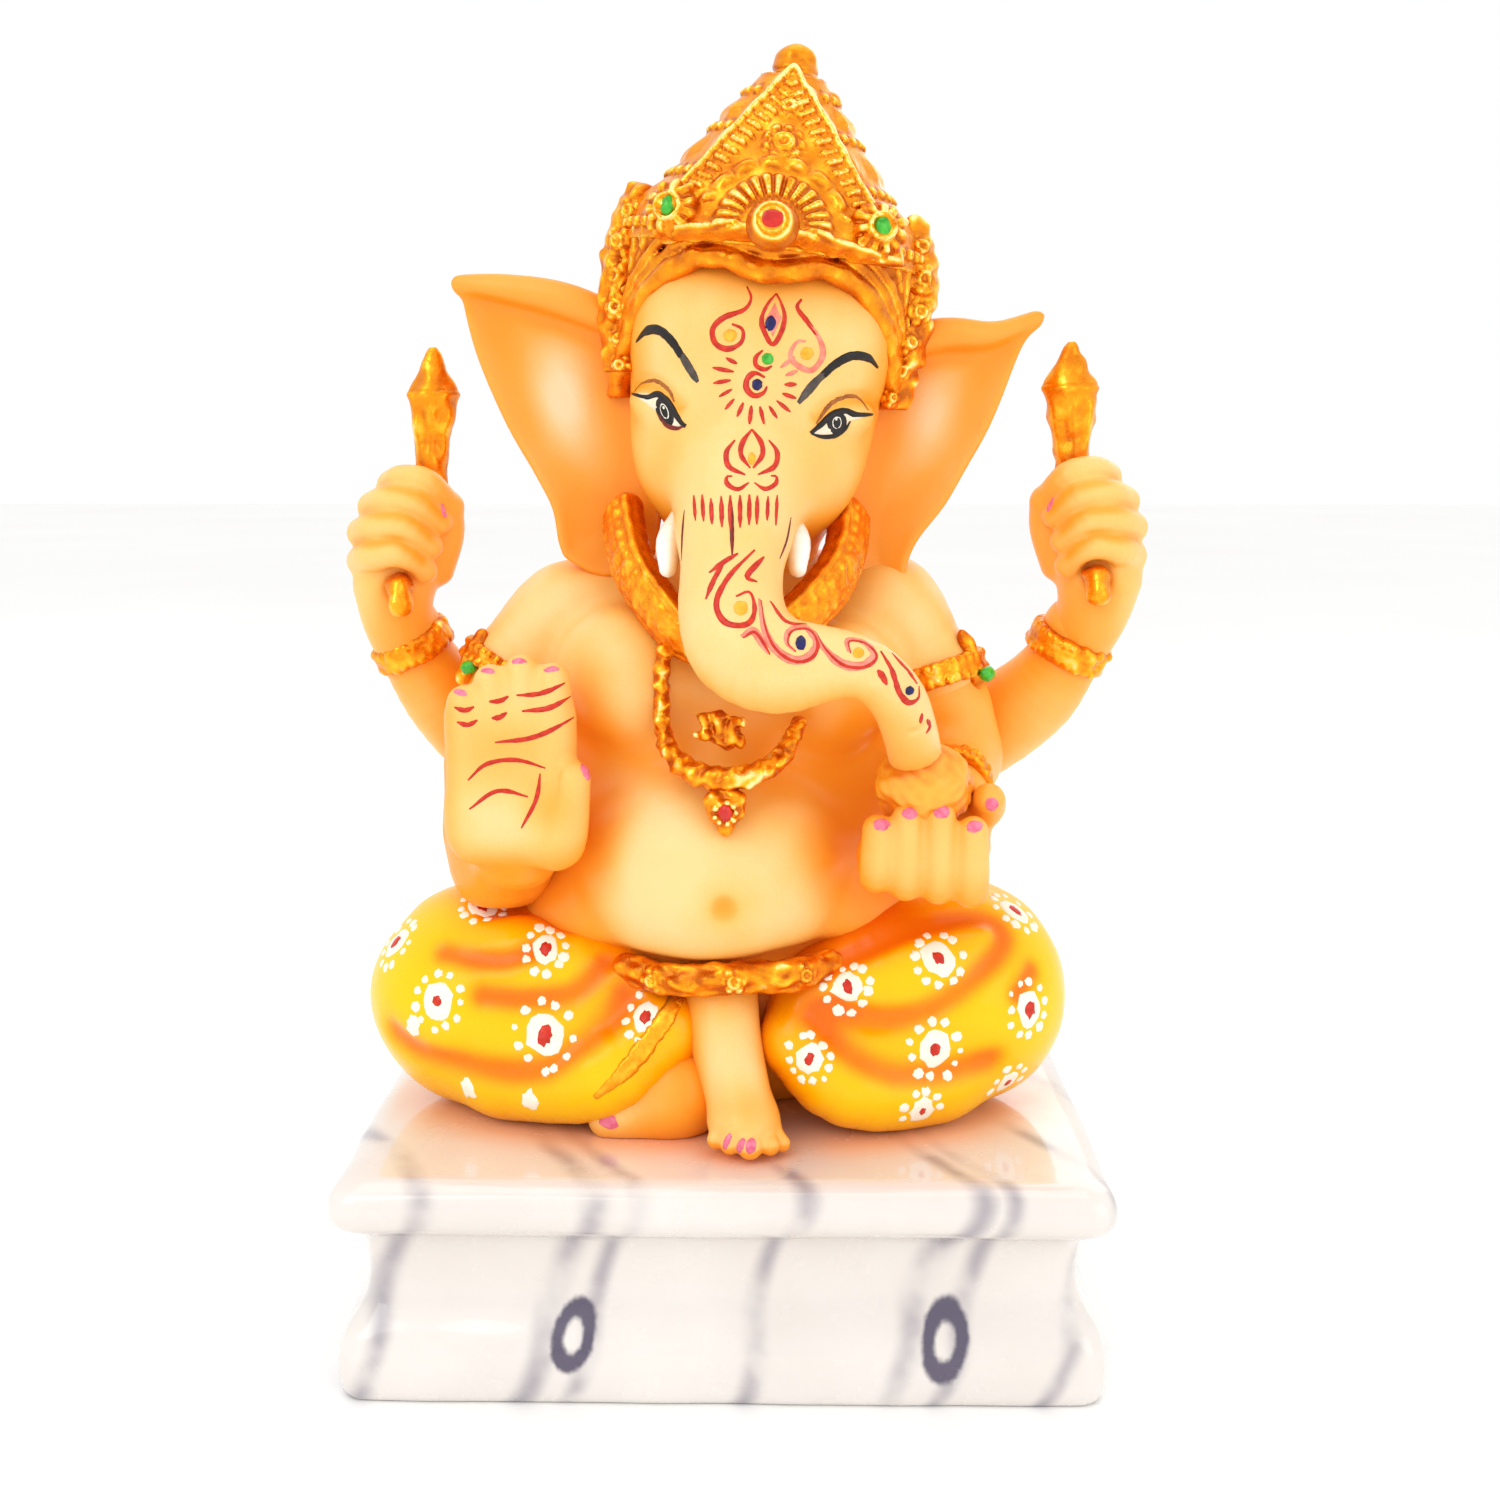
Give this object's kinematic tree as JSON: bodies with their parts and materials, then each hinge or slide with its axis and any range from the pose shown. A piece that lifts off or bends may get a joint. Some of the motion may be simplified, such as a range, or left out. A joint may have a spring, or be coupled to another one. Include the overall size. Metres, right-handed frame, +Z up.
{
  "type": "ganesha idol",
  "caption": "Seated four-armed elephant-headed devotional figure with crown, curled trunk, sweet and leaf-topped staffs, on a moulded rectangular plinth.",
  "frame": {"origin": "centre of the plinth's underside", "axes": "+Z up through the figure, the idol faces -Y, +X is the idol's own left"},
  "size_m": [0.1236, 0.082, 0.1974],
  "materials": {
    "marble": "glossy cream-white cast marble resin with sprayed grey veins",
    "skin": "waxy satin paint, cream airbrushed to warm orange in the hollows",
    "gold": "metallic orange-gold paint, rubbed bright on raised relief",
    "cloth": "glossy yellow paint with orange-red airbrushed folds and painted flowers",
    "ivory": "satin ivory white paint",
    "sweet": "satin orange-gold paint over a crumbly round sweet",
    "red_gem": "glossy deep red paint",
    "green_gem": "glossy bright green paint"
  },
  "bodies": {
    "root": {"plinth": "marble", "torso": "skin", "head": "skin", "front_hand_right": "skin", "front_hand_left": "skin", "back_hand_right": "skin", "back_hand_left": "skin", "front_arm_right": "skin", "front_arm_left": "skin", "back_arm_right": "skin", "back_arm_left": "skin", "foot_left": "skin", "foot_right": "skin", "ear_right": "skin", "ear_left": "skin", "emblem_right": "gold", "emblem_left": "gold", "waistband": "gold", "crown_band": "gold", "crown_dome": "gold", "crown_finial": "gold", "crown_crest": "gold", "crown_rosette_right": "gold", "crown_rosette_left": "gold", "crown_side_boss_right": "gold", "crown_side_boss_left": "gold", "crown_gem_setting": "gold", "collar_necklace": "gold", "long_necklace": "gold", "brooch": "gold", "pendant": "gold", "armlet_right": "gold", "armlet_left": "gold", "bracelet_back_right": "gold", "bracelet_back_left": "gold", "bracelet_front_left": "gold", "dhoti_leg_right": "cloth", "dhoti_leg_left": "cloth", "tusk_right": "ivory", "tusk_left": "ivory", "laddu": "sweet", "crown_gem_front": "red_gem", "pendant_gem": "red_gem", "crown_gem_right": "green_gem", "crown_gem_left": "green_gem", "armlet_gem_right": "green_gem", "armlet_gem_left": "green_gem"}
  },
  "joints": []
}
